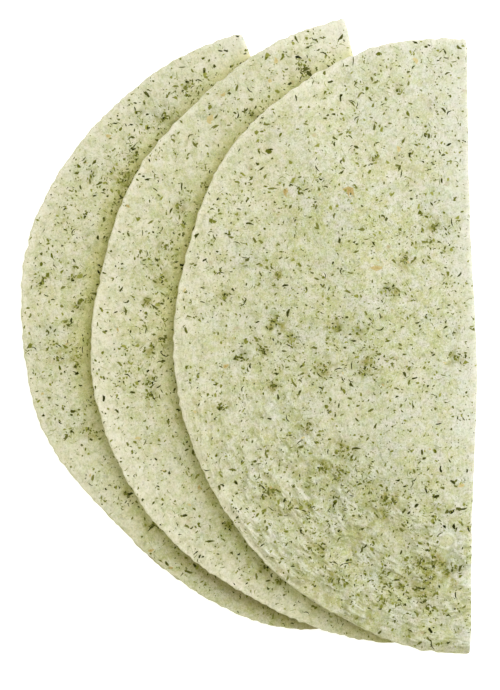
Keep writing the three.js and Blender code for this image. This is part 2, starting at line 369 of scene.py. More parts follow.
def wrinkled(level, reach, along):
    """0 to 1: how wrinkled the upper layer is. The top wrap is, along the rim of its lower half."""
    wrap = WRAPS[level]
    angle = way_round(np.abs(reach), along)
    share = np.hypot(reach, along) / rim_distance(wrap, wrap["upper_rim"], np.abs(reach), along)
    where = ramp((share - 0.42) / 0.25) * ramp((1.0 - share) / 0.03) * ramp((angle - 78) / 52)
    broken = ramp(0.75 + 0.4 * swell(reach, along, 16, 51 + level))
    return where * broken * (reach < 0) * (1.0 if level == 2 else 0.3)


def wrinkles(level, reach, along):
    """The larger of the wrinkles, as ridges that run along the rim."""
    out = np.hypot(reach, along)
    drift = 5 * swell(reach, along, 38, 31 + level) + 1.4 * swell(reach, along, 13, 41 + level)
    broken = ramp(0.5 + 0.8 * swell(reach, along, 9, 61 + level))
    ridges = np.sin(2 * math.pi * (out + drift) / WRINKLE_LENGTH)
    return WRINKLE_HEIGHT * wrinkled(level, reach, along) * broken * ridges


def from_blister(reach, along):
    """Distance from the middle of the blister of the top wrap, counted in its radius."""
    out = (-reach - BLISTER["across"]) / BLISTER["oval"]
    return np.hypot(out, along - BLISTER["along"]) / BLISTER["radius"]


def blister(reach, along):
    return BLISTER["height"] * np.exp(-((from_blister(reach, along) / 0.9) ** 6))


def relief(level, reach, along):
    """Small ups and downs of the outer face, about 0 on the upper layer and below 0 underneath."""
    seed = 100 + 10 * level
    lumps = sum(height * swell(reach, along, length, seed + i) for i, (length, height) in enumerate(LUMPS))
    lumps = lumps + wrinkles(level, reach, along)
    if level == BLISTER["level"]:
        lumps = lumps + blister(reach, along)
    lower = ramp((reach + HALF_BEND) / (2 * HALF_BEND))
    return lumps * (1 - lower) + np.minimum(0.4 * lumps - 0.05, 0) * lower


def grid_cell(shape, column, row):
    """The grid cell of decimal grid places, and how far they lie across it each way."""
    column = np.clip(column, 0, shape[0] - 1.001)
    row = np.clip(row, 0, shape[1] - 1.001)
    c, r = column.astype(int), row.astype(int)
    return c, r, column - c, row - r


class Sheet:
    """The fine surface of one wrap: its flat grid, its outer and inner faces and its rim."""

    def __init__(self, level):
        self.level = level
        self.wrap = WRAPS[level]
        self.reach, self.along, self.inward = flat_grid(level, RIM_NOSE)
        self.angle = way_round(np.abs(self.reach), self.along)
        thin = RIM_THIN + (1 - RIM_THIN) * ramp(self.inward / RIM_TAPER)
        self.half = HALF_THICKNESS * thin
        self.outer = laid(level, self.reach, self.along, self.half + relief(level, self.reach, self.along))
        self.inner = laid(level, self.reach, self.along, -self.half)
        ahead = np.gradient(self.outer, axis=0)
        up = np.gradient(self.outer, axis=1)
        normal = np.cross(ahead, up)
        self.normal = normal / np.linalg.norm(normal, axis=-1, keepdims=True)
        self.columns, self.rows = self.reach.shape
        flat = np.stack([self.reach, self.along], axis=-1)
        self.flat_per_column = np.gradient(flat, axis=0)
        self.flat_per_row = np.gradient(flat, axis=1)
        self.cell_area = np.abs(self.flat_per_column[..., 0] * self.flat_per_row[..., 1]
                                - self.flat_per_column[..., 1] * self.flat_per_row[..., 0])
        self.herb_area = np.zeros(self.reach.shape)

    def note_herb(self, column, row, area):
        """Adds the area of flakes at decimal grid places to the grid points round them."""
        c, r, a, b = grid_cell(self.reach.shape, column, row)
        corners = ((0, 0, (1 - a) * (1 - b)), (1, 0, a * (1 - b)), (0, 1, (1 - a) * b), (1, 1, a * b))
        for i, j, share in corners:
            np.add.at(self.herb_area, (c + i, r + j), area * share)

    def herb_share(self):
        """How much of the outer face is herb, round each grid point."""
        share = self.herb_area / np.maximum(self.cell_area, 0.1)
        around = np.pad(share, 1, mode="edge")
        return (2 * share + around[:-2, 1:-1] + around[2:, 1:-1] + around[1:-1, :-2] + around[1:-1, 2:]) / 6

    def swell(self, length, seed):
        return swell(self.reach, self.along, length, seed)

    def spots(self, places, spread=1.0):
        """Fading spots, added up, at (across, along, radius) places of the upper layer's plan."""
        total = np.zeros(self.reach.shape)
        for across, along, radius in places:
            total += hump(np.hypot(-self.reach - across, self.along - along), spread * radius)
        return total

    def bands(self, places):
        """Bands along the rim, added up: angle from the upper end, spread of it, width, strength."""
        total = np.zeros(self.reach.shape)
        for at, spread, width, strength in places:
            total += strength * hump(self.angle - at, spread) * hump(self.inward, width)
        return total

    def edge(self):
        """Numbers of the grid points on the edge of the grid, once round."""
        index = np.arange(self.columns * self.rows).reshape(self.columns, self.rows)
        return np.concatenate([index[:-1, 0], index[-1, :-1], index[:0:-1, -1], index[0, :0:-1]])

    def nose_rows(self):
        """Points of the rounded rim between the outer and the inner face, with their flat places."""
        edge = self.edge()
        rows = []
        for step in range(1, NOSE_STEPS):
            angle = math.pi * step / NOSE_STEPS
            reach, along, _ = flat_grid(self.level, RIM_NOSE * (1 - math.sin(angle)))
            reach, along = reach.ravel()[edge], along.ravel()[edge]
            half = self.half.ravel()[edge] * math.cos(angle)
            rows.append((laid(self.level, reach, along, half), reach, along))
        return rows


def grid_quads(columns, rows, start, flip):
    index = start + np.arange(columns * rows).reshape(columns, rows)
    corners = [index[:-1, :-1], index[1:, :-1], index[1:, 1:], index[:-1, 1:]]
    if flip:
        corners.reverse()
    return np.stack(corners, axis=-1).reshape(-1, 4)


def add_mesh(name, points, faces, look):
    """A piece of the scene, from points in millimetres."""
    mesh = bpy.data.meshes.new(name)
    mesh.from_pydata((points * MM).tolist(), [], faces)
    mesh.materials.append(look)
    piece = bpy.data.objects.new(name, mesh)
    bpy.context.scene.collection.objects.link(piece)
    return piece


def wrap_object(sheet, look):
    """The closed skin of one wrap, with its flat places and maps stored for the dough material."""
    columns, rows = sheet.columns, sheet.rows
    count = columns * rows
    edge = sheet.edge()
    nose = sheet.nose_rows()
    loops = [edge]
    loops += [2 * count + i * len(edge) + np.arange(len(edge)) for i in range(len(nose))]
    loops += [count + edge]
    quads = [grid_quads(columns, rows, 0, False), grid_quads(columns, rows, count, True)]
    for near, far in zip(loops, loops[1:]):
        quads.append(np.stack([far, np.roll(far, -1), np.roll(near, -1), near], axis=-1))
    sides = [sheet.outer.reshape(-1, 3), sheet.inner.reshape(-1, 3)]
    points = np.concatenate(sides + [row[0] for row in nose])
    piece = add_mesh(sheet.wrap["name"] + "_dough", points + SHIFT, np.concatenate(quads).tolist(), look)
    piece.data.shade_smooth()

    # The flat place of every point, so that specks and mottling belong to the sheet and go round its fold.
    own = OWN_PLACE * sheet.level
    for title, places in (("sheet", flat_places), ("polar", polar_places)):
        parts = [places(sheet.reach, sheet.along, own), places(sheet.reach, sheet.along, own + 9)]
        parts += [places(reach, along, own + 2 * i + 2) for i, (_, reach, along) in enumerate(nose)]
        store(piece, title, "FLOAT_VECTOR", np.concatenate(parts))

    # Each map with the share of it that shows on the inner face.
    painted_shade_tint, painted_shadow = painted_shade_maps(sheet)
    for title, values, inner_share in (
        ("rim", pale_lit_rim_map(sheet), 1.0),
        ("cream", cream_map(sheet), 1.0),
        ("pale", pale_map(sheet), 0.0),
        ("scorch", scorch_map(sheet), 0.5),
        ("painted_shade_tint", painted_shade_tint, 0.0),
        ("painted_shadow", painted_shadow, 0.0),
        ("stain", stain_map(sheet), 0.3),
        ("halo", 1 - np.exp(-1.5 * sheet.herb_share()), 0.0),
        ("wrinkle", wrinkled(sheet.level, sheet.reach, sheet.along), 0.0),
    ):
        values = values.ravel()
        on_nose = np.tile(values[edge], len(nose))
        store(piece, title, "FLOAT", np.concatenate([values, inner_share * values, on_nose]))
    return piece


def flat_places(x, y, own):
    return np.stack([x.ravel(), y.ravel(), np.full(x.size, own)], axis=-1)


def polar_places(reach, along, own):
    """Distance from the fold's middle, and the way round at the rim's usual radius."""
    return flat_places(np.hypot(reach, along), np.arctan2(np.abs(reach), along) * USUAL_RADIUS, own)


def store(piece, name, kind, values):
    attribute = piece.data.attributes.new(name, kind, "POINT")
    field = "vector" if kind == "FLOAT_VECTOR" else "value"
    attribute.data.foreach_set(field, values.astype(np.float32).ravel())


# ---- Maps of the dough, 0 to 1 at each grid point ----

def pale_lit_rim_map(sheet):
    """Pale dough along the rim, in a thin line everywhere and in wider bands here and there: partly paler
    dough and partly painted light where the curled rim catches the light.
    """
    line = 0.3 * (1 - ramp(sheet.inward / RIM_BAND)) * (1 - 0.6 * ramp((sheet.angle - 142) / 12))
    return np.clip(line + sheet.bands(sheet.wrap["pale_lit_bands"]), 0, 1)


def cream_map(sheet):
    """0 where the dough is a greyish green white, and 1 where it is a warm cream."""
    everywhere, at_rim = sheet.wrap["cream"]
    left = ramp((sheet.angle - 12) / 20) * ramp((150 - sheet.angle) / 30)
    near_rim = np.exp(-sheet.inward / CREAM_BAND) * left
    drift = 0.22 * sheet.swell(34, 90 + sheet.level)
    everywhere = everywhere * (1 - 0.6 * ramp((sheet.angle - 114) / 24))
    return np.clip(everywhere + at_rim * near_rim + drift, 0, 1)


def pale_map(sheet):
    """The paler band along the fold, fainter in the lower half, and the paler upper end of the wrap: partly
    paler dough and partly painted light where the fold catches the light.
    """
    fading = 0.1 + 0.9 * ramp((sheet.along + 75) / 70)
    total = hump(sheet.reach, FOLD_BAND) * fading
    total += 0.45 * ramp((sheet.along - 35) / 60) * hump(sheet.reach, 75)
    for across, along, radius, strength in sheet.wrap["pale"]:
        total += strength * sheet.spots([(across, along, radius)])
    return np.clip(total, 0, 1)


def painted_shade_maps(sheet):
    """Painted shade: a yellower tint right next to a wrap that lies on this one, and a browner painted shadow
    at its lower left.
    """
    if sheet.level == len(WRAPS) - 1:
        return np.zeros(sheet.reach.shape), np.zeros(sheet.reach.shape)
    next_wrap = WRAPS[sheet.level + 1]
    x, y = sheet.outer[..., 0], sheet.outer[..., 1]
    angle = way_round(*stack_to_plan(next_wrap, x, y))
    away = np.maximum(beyond_edge(next_wrap, x, y)[1], 0)
    upper_left = 0.3 + 0.7 * (1 - ramp((angle - 78) / 25))
    start, spread, strength = sheet.wrap["painted_shadow"]
    lower_left = strength * ramp((angle - start) / spread)
    on_top = sheet.reach < 0
    return hump(away, PAINTED_SHADE_BAND) * upper_left * on_top, hump(away, PAINTED_SHADOW_BAND) * lower_left * on_top


def scorch_map(sheet):
    """The scorched places, which are on the lower layer and so on the other side of the fold."""
    places = [(-across, along, radius) for across, along, radius in sheet.wrap["scorched"]]
    return np.clip(sheet.spots(places), 0, 1)


def stain_map(sheet):
    """Olive stain of the dough round its clumps of herb and in small random spots."""
    total = 1.35 * sheet.spots(sheet.wrap["clumps"], 1.15)
    rng = np.random.default_rng(70 + sheet.level)
    for _ in range(170):
        column, row = rng.integers(0, sheet.columns), rng.integers(0, sheet.rows)
        strength, radius = rng.uniform(0.1, 0.55), rng.uniform(1.2, 3.8)
        total += strength * sheet.spots([(-sheet.reach[column, row], sheet.along[column, row], radius)])
    wisps = ramp(0.5 + 0.6 * sheet.swell(5, 80 + sheet.level))
    total += sheet.bands(sheet.wrap["olive"])
    return np.clip(total * (0.3 + wisps) + 0.2 * richness(sheet) * wisps, 0, 1)


def richness(sheet):
    """1 in the middle of the parts of a wrap that hold the most herb."""
    return np.clip(sheet.spots(sheet.wrap["rich"]), 0, 1)


# ---- Herb flakes and toasted bits ----

HIDDEN_MARGIN = 5       # a flake this far under another wrap isn't seen and is left out
FLAKE_RIM = 0.03        # how far the rim and the middle of a flake stand above the dough
FLAKE_MIDDLE = 0.042
FLAKE_SINK = 0.12       # how far a flake reaches down into the dough
EDGE_SHADE = 0.62       # how much paler the thin edge of a flake is than its middle


def hidden(sheet):
    """True where another wrap hides the outer face."""
    x, y = sheet.outer[..., 0], sheet.outer[..., 1]
    covered = np.zeros(x.shape, bool)
    for level, wrap in enumerate(WRAPS):
        past_fold, past_rim = beyond_edge(wrap, x, y)
        inside = np.maximum(past_fold, past_rim) < -HIDDEN_MARGIN
        if level > sheet.level:
            covered |= inside & (sheet.reach < 0)
        if level < sheet.level:
            covered |= inside & (sheet.reach > 0)
    return covered


class Scatter:
    """Random flat places of one sheet, spread evenly by area or thicker where `density` says."""

    def __init__(self, sheet, density, seed):
        self.sheet = sheet
        self.rng = np.random.default_rng(seed)
        self.weight = (sheet.cell_area * density * ~hidden(sheet))[:-1, :-1].ravel()

    def places(self, per_mm2):
        """Grid places (column, row) as decimals, `per_mm2` of them where the density is 1."""
        count = int(self.weight.sum() * per_mm2)
        cells = self.rng.choice(self.weight.size, count, p=self.weight / self.weight.sum())
        column, row = np.divmod(cells, self.sheet.rows - 1)
        return column + self.rng.random(count), row + self.rng.random(count)


def nearest_place(sheet, reach, along):
    """Grid place whose flat place is nearest to a given one."""
    away = np.hypot(sheet.reach - reach, sheet.along - along)
    column, row = np.unravel_index(np.argmin(away), away.shape)
    return float(column), float(row)


def on_grid(values, column, row):
    """Values of the grid at decimal grid places."""
    c, r, a, b = grid_cell(values.shape, column, row)
    a, b = a[..., None], b[..., None]
    near = values[c, r] * (1 - b) + values[c, r + 1] * b
    far = values[c + 1, r] * (1 - b) + values[c + 1, r + 1] * b
    return near * (1 - a) + far * a


class Flakes:
    """Thin closed flakes set flush in the outer faces, gathered from all the wraps."""

    def __init__(self, sides):
        self.sides = sides
        self.points = []
        self.shades = []

    def add(self, sheet, column, row, length, width, rng, bend=0.0, turn=None, rough=0.42, paleness=None):
        """One flake at each grid place. Its direction and paleness are random unless they are given."""
        count = len(column)
        corner = np.arange(self.sides) + rng.uniform(-0.25, 0.25, (count, self.sides))
        around = 2 * math.pi * corner / self.sides
        jitter = 1 + rng.uniform(-rough, rough, (count, self.sides))
        long_way = np.cos(around) * jitter * length[:, None] / 2
        short_way = np.sin(around) * jitter * width[:, None] / 2
        curve = bend * rng.uniform(-1, 1, count)[:, None]
        short_way = short_way + curve * (long_way**2 / np.maximum(length[:, None], 0.1))
        at_random = rng.uniform(0, 2 * math.pi, count)[:, None]
        turn = at_random if turn is None else turn
        d_reach = long_way * np.cos(turn) - short_way * np.sin(turn)
        d_along = long_way * np.sin(turn) + short_way * np.cos(turn)

        per_column = on_grid(sheet.flat_per_column, column, row)
        per_row = on_grid(sheet.flat_per_row, column, row)
        area = per_column[:, 0] * per_row[:, 1] - per_column[:, 1] * per_row[:, 0]
        d_column = (d_reach * per_row[:, 1:] - d_along * per_row[:, :1]) / area[:, None]
        d_row = (d_along * per_column[:, :1] - d_reach * per_column[:, 1:]) / area[:, None]
        middle_first = ((0, 0), (1, 0))
        columns = column[:, None] + np.pad(np.clip(d_column, -3, 3), middle_first)
        rows = row[:, None] + np.pad(np.clip(d_row, -3, 3), middle_first)
        place = on_grid(sheet.outer, columns, rows)
        normal = on_grid(sheet.normal, columns, rows)
        lifts = np.full(columns.shape, FLAKE_RIM)
        lifts[:, 0] = FLAKE_MIDDLE
        top = place + normal * lifts[..., None]
        under = place[:, 1:] - normal[:, 1:] * FLAKE_SINK
        flake = np.concatenate([top, under], axis=1)
        flake[..., 2] = np.maximum(flake[..., 2], 0)
        self.points.append(flake)
        thin_edge = np.where(np.arange(2 * self.sides + 1) == 0, 0.0, EDGE_SHADE)
        middle = rng.random((count, 1))
        if paleness is not None:
            middle = np.full((count, 1), paleness)
        self.shades.append(middle + thin_edge * rng.uniform(0.4, 1.3, (count, 1)))
        sheet.note_herb(column, row, length * width * 0.8)

    def add_one(self, sheet, place, length, width, rng, bend, rough, **given):
        """One flake at one grid place."""
        column, row, length, width = (np.array([value]) for value in (*place, length, width))
        self.add(sheet, column, row, length, width, rng, bend=bend, rough=rough, **given)

    def faces(self):
        """Faces of one flake: a fan on top, a band round it and one flat face below."""
        ring, down = np.arange(1, self.sides + 1), self.sides
        following = np.roll(ring, -1)
        fan = np.stack([0 * ring, ring, following], axis=-1)
        band = np.stack([ring, ring + down, following + down, following], axis=-1)
        return fan, band, (ring + down)[None, ::-1]

    def piece(self, name, look, slot):
        points = np.concatenate(self.points)
        start = (np.arange(len(points)) * (2 * self.sides + 1))[:, None, None]
        faces = []
        for corners in self.faces():
            faces += (corners[None] + start).reshape(-1, corners.shape[1]).tolist()
        piece = add_mesh(name, points.reshape(-1, 3) + SHIFT, faces, look)
        store(piece, "shade", "FLOAT", np.concatenate(self.shades))
        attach(piece, "root")


def herb_density(sheet):
    """Herb is thinner along the rim and the fold, and gathers in loose drifts."""
    seed = 130 + sheet.level
    drifts = 0.25 * sheet.swell(30, seed) + 0.35 * sheet.swell(8, seed + 5)
    rim = 1 - 0.5 * (1 - ramp(sheet.inward / 6))
    fold = 1 - 0.28 * hump(sheet.reach, 9)
    herb = sheet.wrap["herb"] * np.exp(drifts) * rim * fold
    if sheet.level == BLISTER["level"]:
        herb *= 1 - 0.9 * np.exp(-(from_blister(sheet.reach, sheet.along) ** 4))
    return herb * (1 + 0.75 * richness(sheet))


def scatter_herbs(sheets):
    """The herb in all the wraps, one piece per kind."""
    flakes, specks, green, stems, strokes = Flakes(7), Flakes(5), Flakes(6), Flakes(9), Flakes(7)
    for sheet in sheets:
        spread = Scatter(sheet, herb_density(sheet), 200 + sheet.level)
        rng = spread.rng

        # Flakes per mm2, usual length and its spread, least and most length, width as a share of the
        # length, least and most width, bend.
        for kind, per_mm2, (usual, vary), lengths, shares, widths, bend in (
            (flakes, 1 / 28, (1.2, 0.44), (0.6, 3.2), (0.27, 0.66), (0.34, 1.05), 0.5),
            (specks, 1 / 23, (0.52, 0.35), (0.28, 1.1), (0.45, 0.95), (0, 1.1), 0.0),
            (green, 1 / 18, (0.88, 0.42), (0.4, 2.4), (0.4, 0.8), (0, 2.4), 0.5),
        ):
            column, row = spread.places(per_mm2)
            length = np.clip(rng.lognormal(math.log(usual), vary, len(column)), *lengths)
            width = np.clip(length * rng.uniform(*shares, len(column)), *widths)
            kind.add(sheet, column, row, length, width, rng, bend=bend)

        # Flakes per mm2, least and most length, least and most width.
        for kind, per_mm2, lengths, widths in (
            (stems, 1 / 480, (1.8, 3.6), (0.35, 0.55)),
            (strokes, 1 / 62, (1.1, 3.2), (0.15, 0.32)),
        ):
            column, row = spread.places(per_mm2)
            length = rng.uniform(*lengths, len(column))
            width = rng.uniform(*widths, len(column))
            kind.add(sheet, column, row, length, width, rng, bend=1.2, rough=0.2)

        for across, along, length, width, turn in sheet.wrap["marks"]:
            place = nearest_place(sheet, -across, along)
            stems.add_one(sheet, place, length, width, rng, 0.5, 0.3, turn=math.radians(turn))

        # For each millimetre of a clump's radius: how many flakes, and their least and most length.
        for across, along, radius in sheet.wrap["clumps"]:
            column, row = nearest_place(sheet, -across, along)
            for kind, per_mm, lengths in (
                (flakes, 2.4, (0.6, 1.8)),
                (green, 3.0, (0.6, 1.6)),
                (specks, 2.5, (0.3, 0.8)),
            ):
                many = int(per_mm * radius)
                columns = column + rng.normal(0, radius / 2.1, many)
                rows = row + rng.normal(0, radius / 2.4, many)
                length = rng.uniform(*lengths, many)
                kind.add(sheet, columns, rows, length, length * rng.uniform(0.35, 0.8, many), rng, bend=0.4)

    dark = herb_material("dark_herb", (44, 48, 12), (142, 144, 74), 0.5)
    flakes.piece("herb_flakes", dark, "dried_herb")
    specks.piece("herb_specks", dark, "dried_herb")
    stems.piece("herb_stems", herb_material("darkest_herb", (28, 31, 4), (104, 106, 46), 0.5), "dried_herb")
    green.piece("herb_green", herb_material("green_herb", (90, 96, 18), (170, 172, 88), 0.5), "dried_herb")
    faint = herb_material("faint_herb", (106, 112, 52), (184, 188, 118), 0.5)
    strokes.piece("herb_strokes", faint, "dried_herb")


def scatter_toasted(sheets):
    """Toasted bits: the ones that the photo shows, and a few small ones anywhere."""
    toasted = Flakes(9)
    for sheet in sheets:
        rng = np.random.default_rng(300 + sheet.level)
        for across, along, length, paleness in sheet.wrap["toasted"]:
            place = nearest_place(sheet, -across, along)
            toasted.add_one(sheet, place, length, length * 0.6, rng, 1.2, 0.4, paleness=paleness)
        spread = Scatter(sheet, np.ones(sheet.reach.shape), 310 + sheet.level)
        column, row = spread.places(1 / 1300)
        length = spread.rng.uniform(0.6, 1.8, len(column))
        toasted.add(sheet, column, row, length, length * 0.55, spread.rng, bend=0.8, rough=0.4)
    look = herb_material("toasted_bit", (168, 138, 66), (222, 208, 150), 0.6, 1.4)
    toasted.piece("toasted_bits", look, "toasted_bit")


# ---- Materials ----
LIGHT_LEVEL = 1.28      # how brightly the lights fall on a level white face


def seen(red, green, blue):
    """The surface colour that shows as this screen colour under the scene's lights."""
    def linear(value):
        value = value / 255
        return value / 12.92 if value <= 0.04045 else ((value + 0.055) / 1.055) ** 2.4
    return tuple(linear(value) / LIGHT_LEVEL for value in (red, green, blue)) + (1.0,)


class Shader:
    """Short calls for the nodes of a material or a world. Most of them return an output socket."""

    def __init__(self, owner):
        self.owner = owner
        owner.use_nodes = True
        self.tree = owner.node_tree
        self.surface = self.tree.nodes.get("Principled BSDF")

    def node(self, kind, **settings):
        node = self.tree.nodes.new(kind)
        for name, value in settings.items():
            setattr(node, name, value)
        return node

    def put(self, node, **values):
        """Sets or links inputs of a node. They are named with _ for a space, or numbered _0 and _1."""
        for name, value in values.items():
            socket = node.inputs[int(name[1:]) if name[0] == "_" else name.replace("_", " ")]
            if isinstance(value, bpy.types.NodeSocket):
                self.tree.links.new(value, socket)
            else:
                socket.default_value = value
        return node

    def attribute(self, name, output="Fac"):
        return self.node("ShaderNodeAttribute", attribute_name=name).outputs[output]

    def millimetres(self):
        """The place in space, in millimetres."""
        return self.vector("MULTIPLY", self.node("ShaderNodeNewGeometry").outputs["Position"], (1 / MM,) * 3)

    def noise(self, place, size, detail=2.0, roughness=0.55, output="Fac"):
        node = self.node("ShaderNodeTexNoise")
        self.put(node, Vector=place, Scale=1 / size, Detail=detail, Roughness=roughness)
        return node.outputs[output]

    def spots(self, place, size, radius, share, channel):
        """Soft spots in a `share` of the cells of a loose grid. `radius` counts in cell sizes."""
        node = self.put(self.node("ShaderNodeTexVoronoi"), Vector=place, Scale=1 / size)
        chosen = self.remap(self.axis(node.outputs["Color"], channel), 1 - share, 1 - 0.4 * share)
        return self.times(self.remap(node.outputs["Distance"], radius, 0.35 * radius), chosen)

    def vector(self, operation, a, b=(0, 0, 0), output=0):
        return self.put(self.node("ShaderNodeVectorMath", operation=operation), _0=a, _1=b).outputs[output]

    def scaled(self, place, factors):
        return self.vector("MULTIPLY", place, factors)

    def moved(self, place, way):
        return self.vector("ADD", place, way)

    def turned(self, place, degrees, factors):
        """The place turned about the sheet's own upright axis and then scaled."""
        scale = tuple(1 / factor for factor in factors)
        node = self.node("ShaderNodeMapping", vector_type="TEXTURE")
        return self.put(node, Vector=place, Rotation=(0, 0, math.radians(degrees)), Scale=scale).outputs[0]

    def warped(self, place, size, amount):
        """The place pushed about by noise, so that what is drawn there gets ragged edges."""
        push = self.vector("SUBTRACT", self.noise(place, size, 2, 0.6, "Color"), (0.5, 0.5, 0.5))
        return self.moved(place, self.scaled(push, (amount, amount, amount)))

    def remap(self, value, low, high, to_low=0.0, to_high=1.0, rise="SMOOTHSTEP"):
        node = self.node("ShaderNodeMapRange", interpolation_type=rise)
        self.put(node, Value=value, From_Min=low, From_Max=high, To_Min=to_low, To_Max=to_high)
        return node.outputs["Result"]

    def math(self, operation, a, b=0.0):
        return self.put(self.node("ShaderNodeMath", operation=operation), _0=a, _1=b).outputs[0]

    def times(self, a, b):
        return self.math("MULTIPLY", a, b)

    def axis(self, place, name):
        return self.put(self.node("ShaderNodeSeparateXYZ"), _0=place).outputs[name]

    def blend(self, share, a, b, kind="MIX"):
        """Colour b over colour a, or another kind of blend of the two, in a share of it."""
        node = self.node("ShaderNodeMix", data_type="RGBA", blend_type=kind)
        return self.put(node, Factor=share, A=a, B=b).outputs["Result"]

    def toned(self, colour, *layers):
        """Lays screen colours over a colour: where, how strongly, and the screen colour."""
        for where, strength, tone in layers:
            colour = self.blend(self.times(where, strength), colour, seen(*tone))
        return colour

    def mottled(self, colour, *layers):
        """The same with a noise, and the levels of it where the colour starts and is full."""
        for noise, start, full, strength, tone in layers:
            colour = self.toned(colour, (self.remap(noise, start, full), strength, tone))
        return colour

    def bump(self, height, depth_mm, under=None):
        node = self.put(self.node("ShaderNodeBump"), Distance=depth_mm * MM, Height=height)
        if under is not None:
            self.put(node, Normal=under)
        return node.outputs["Normal"]


def dough_material():
    """Soft matt flour dough: cream green, mottled, stained olive round the herb, paler at rim and fold,
    partly as painted light, with painted highlight and shade on its wrinkles and painted shade next to the
    wraps that lie on it.
    """
    s = Shader(bpy.data.materials.new("herb_dough"))
    place = s.attribute("sheet", "Vector")
    ragged = s.warped(place, 1.6, 1.8)
    patch = s.noise(place, 9, 3)
    tint = s.noise(s.moved(place, (130, 70, 40)), 4.5, 3, 0.6)
    drift = s.noise(s.moved(place, (20, 250, 80)), 12, 3, 0.6)
    mottle = s.noise(ragged, 2.6, 3, 0.6)
    grain = s.noise(place, 0.95, 3, 0.65)
    dust = s.noise(s.warped(place, 0.8, 0.5), 0.5, 2, 0.6)
    fibre = s.noise(s.scaled(s.warped(place, 6.0, 5.0), (1.0, 0.42, 1.0)), 0.75, 2, 0.6)

    # Mottling, from coarse to fine.
    cream = s.times(s.attribute("cream"), s.remap(tint, 0.38, 0.6, 1.0, 0.25))
    colour = s.blend(s.remap(patch, 0.32, 0.68), seen(211, 212, 166), seen(224, 225, 193))
    colour = s.mottled(
        colour,
        (drift, 0.5, 0.66, 0.7, (209, 208, 140)),
        (drift, 0.5, 0.36, 0.6, (220, 223, 205)),
    )
    colour = s.toned(colour, (cream, 0.8, (223, 217, 163)))
    colour = s.mottled(
        colour,
        (tint, 0.5, 0.66, 0.8, (204, 207, 142)),
        (tint, 0.5, 0.36, 0.75, (229, 226, 207)),
        (mottle, 0.5, 0.68, 0.7, (192, 196, 138)),
        (mottle, 0.48, 0.32, 0.6, (235, 234, 212)),
        (grain, 0.53, 0.7, 0.75, (170, 173, 132)),
        (grain, 0.46, 0.3, 0.7, (241, 240, 214)),
        (dust, 0.56, 0.7, 0.62, (136, 140, 88)),
        (dust, 0.44, 0.3, 0.45, (244, 243, 222)),
    )

    # Herb just under the face shows as soft grey-green spots, and there are a few rusty spots.
    colour = s.toned(
        colour,
        (s.spots(s.turned(ragged, 25, (1.0, 0.55, 1.0)), 2.0, 0.36, 0.45, "X"), 0.55, (138, 146, 104)),
        (s.spots(s.turned(ragged, 110, (1.0, 0.5, 1.0)), 1.7, 0.34, 0.45, "Y"), 0.55, (154, 156, 90)),
        (s.spots(ragged, 0.9, 0.36, 0.34, "Z"), 0.55, (128, 130, 70)),
        (s.spots(s.moved(ragged, (40, 90, 0)), 6.5, 0.22, 0.12, "Y"), 0.65, (180, 152, 98)),
    )

    halo = s.times(s.attribute("halo"), s.remap(mottle, 0.36, 0.6, 0.3, 1.0))
    colour = s.toned(colour, (halo, 0.55, (170, 174, 92)))
    stain = s.times(s.attribute("stain"), s.remap(mottle, 0.32, 0.62, 0.35, 1.0))
    stain_colour = s.blend(s.remap(drift, 0.36, 0.5), seen(138, 142, 80), seen(154, 149, 54))
    colour = s.blend(s.times(stain, 0.9), colour, stain_colour)

    # Pale fold band, upper end and rim bands, broken up by the grain: partly paler dough and partly painted
    # light where the fold and the curled rim catch the light.
    grain_break = s.remap(grain, 0.62, 0.42, 0.66, 1.0)
    pale = s.times(s.times(s.attribute("pale"), s.remap(patch, 0.3, 0.6, 0.6, 1.0)), grain_break)
    rim = s.times(s.times(s.attribute("rim"), s.remap(mottle, 0.62, 0.3, 0.6, 1.0)), grain_break)
    colour = s.toned(
        colour,
        (pale, 0.78, (236, 235, 214)),
        (cream, 0.38, (250, 245, 214)),
        (rim, 0.92, (260, 255, 232)),
        (s.attribute("scorch"), 0.9, (140, 84, 44)),
    )

    # The blister, and small pillows, longer along the rim, that wrinkle the top wrap's lower half. The
    # pillows' crests are painted paler as a painted highlight and their hollows darker as painted shade.
    blister_middle = (-BLISTER["across"], BLISTER["along"], OWN_PLACE * BLISTER["level"])
    blister_radii = (1 / (BLISTER["radius"] * BLISTER["oval"]), 1 / BLISTER["radius"], 1.0)
    away = s.scaled(s.vector("SUBTRACT", place, blister_middle), blister_radii)
    away = s.vector("LENGTH", away, output="Value")
    blister_rim = s.times(s.remap(away, 0.75, 1.0), s.remap(away, 1.3, 1.0))
    polar = s.attribute("polar", "Vector")
    pillows = s.noise(s.warped(s.scaled(polar, (1.0, 0.5, 1.0)), 5.0, 2.2), 2.4, 1.4, 0.5)
    streaks = s.noise(s.warped(s.scaled(polar, (1.0, 0.45, 1.0)), 2.5, 1.2), 1.25, 1.5, 0.5)
    ridges = s.math("ADD", s.times(pillows, 0.8), s.times(streaks, 0.2))
    wrinkle = s.attribute("wrinkle")
    # The last two tones are a painted highlight on the pillows' crests and painted shade in their hollows.
    colour = s.toned(
        colour,
        (s.remap(away, 0.95, 0.7), 0.4, (222, 221, 170)),
        (blister_rim, 0.6, (244, 243, 216)),
        (s.times(wrinkle, s.remap(ridges, 0.5, 0.64)), 0.5, (238, 240, 214)),
        (s.times(wrinkle, s.remap(ridges, 0.48, 0.36)), 0.5, (164, 168, 106)),
    )

    colour = s.mottled(
        colour,
        (fibre, 0.54, 0.7, 0.4, (160, 166, 118)),
        (fibre, 0.46, 0.3, 0.32, (246, 245, 224)),
    )
    for size, amount in ((1.1, 0.022), (3.6, 0.034)):
        tints = s.noise(s.moved(place, (30, 160, 20)), size, 2, 0.6, "Color")
        colour = s.blend(amount, colour, tints, "LINEAR_LIGHT")
